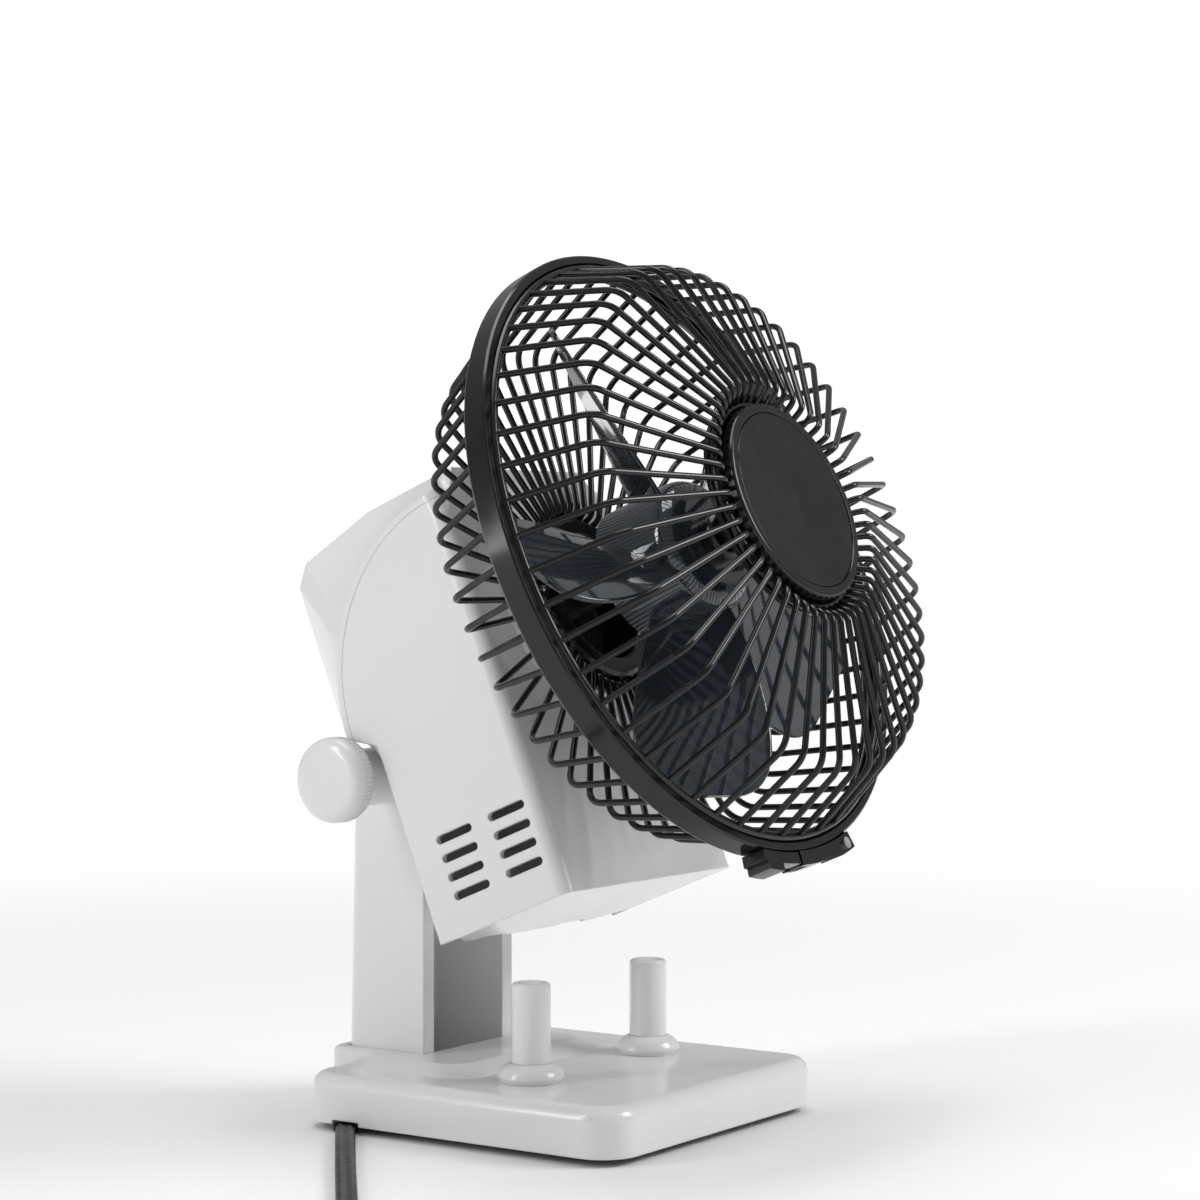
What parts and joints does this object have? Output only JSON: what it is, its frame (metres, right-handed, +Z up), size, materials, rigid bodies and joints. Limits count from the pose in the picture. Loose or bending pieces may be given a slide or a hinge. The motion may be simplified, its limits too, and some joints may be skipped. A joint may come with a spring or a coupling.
{
  "type": "desk fan",
  "caption": "Small mains desk fan: weighted square base with two long push buttons, channel column, tilting boxy head and round wire guard.",
  "frame": {"origin": "centre of the square base, on the surface that the feet stand on", "axes": "+Z up, the fan blows towards -Y and is tipped up, +X to the fan's right-hand side seen from behind it"},
  "size_m": [0.3143, 0.2925, 0.276],
  "materials": {
    "white_shell": "glossy white moulded plastic",
    "underside_plastic": "plain moulded",
    "feet": "matt rubber",
    "steel": "zinc plated",
    "laminations": "varnished steel laminations",
    "copper": "enamelled copper and sintered bronze",
    "guard_wire": "glossy black powder coat",
    "black_plastic": "glossy black",
    "smoke_blades": "smoky translucent blue-grey, polished",
    "cord_rubber": "smooth flexible jacket"
  },
  "bodies": {
    "base": {"base_shell": "white_shell", "base_plate": "underside_plastic", "base_screws": "steel", "rubber_feet": "feet", "ballast_plate": "steel", "button_guides": "white_shell", "push_switches": "underside_plastic", "switch_terminals": "steel", "terminal_block": "underside_plastic", "column": "white_shell", "column_posts": "white_shell", "pivot_washer": "steel", "cap_nut": "white_shell", "strain_relief": "cord_rubber", "power_cord": "cord_rubber", "cord_coil": "cord_rubber", "cord_tail": "cord_rubber", "mains_plug": "cord_rubber", "plug_blades": "steel"},
    "power_button": {"power_button": "white_shell"},
    "speed_button": {"speed_button": "white_shell"},
    "knob": {"tilt_knob": "white_shell", "pivot_bolt": "steel"},
    "head": {"housing_shell": "white_shell", "rear_hood": "white_shell", "pivot_block": "underside_plastic", "pivot_block_screws": "steel", "stator_stack": "laminations", "copper_windings": "copper", "motor_front_shield": "steel", "motor_rear_shield": "steel", "bearings": "copper", "motor_bolts": "steel", "stack_spacers": "steel", "motor_mounts": "steel", "rear_guard": "guard_wire", "front_guard": "guard_wire", "guard_nut": "black_plastic", "rim_band": "black_plastic", "guard_cap": "black_plastic", "cap_retainer": "black_plastic", "cap_screw": "steel", "clip_keeper": "black_plastic", "clip_screw": "steel"},
    "rotor": {"motor_shaft": "steel", "rotor_core": "laminations", "fan_blades": "smoke_blades", "blade_nut": "black_plastic"},
    "clip": {"clip_lever": "black_plastic"}
  },
  "joints": [
    {"name": "power_press", "type": "slide", "parent": "base", "child": "power_button", "axis": [0, 0, -1], "range_m": [0, 0.003], "stiffness_N_per_m": 300, "springref_m": -0.002},
    {"name": "speed_press", "type": "slide", "parent": "base", "child": "speed_button", "axis": [0, 0, -1], "range_m": [0, 0.003], "stiffness_N_per_m": 300, "springref_m": -0.002},
    {"name": "head_tilt", "type": "hinge", "parent": "base", "child": "head", "pos_m": [0, 0.0512, 0.1099], "axis": [-1, 0, 0], "range_deg": [-15, 55]},
    {"name": "knob_turn", "type": "hinge", "parent": "base", "child": "knob", "pos_m": [0, 0.0512, 0.1099], "axis": [-1, 0, 0], "range_deg": [0, 270]},
    {"name": "rotor_spin", "type": "hinge", "parent": "head", "child": "rotor", "pos_m": [0, -0.0443, 0.18063], "axis": [0, -0.9252, 0.3795], "continuous": true},
    {"name": "clip_swing", "type": "hinge", "parent": "head", "child": "clip", "pos_m": [-0.00179, -0.0873, 0.08739], "axis": [0, -0.9252, 0.3795], "range_deg": [0, 60]}
  ]
}
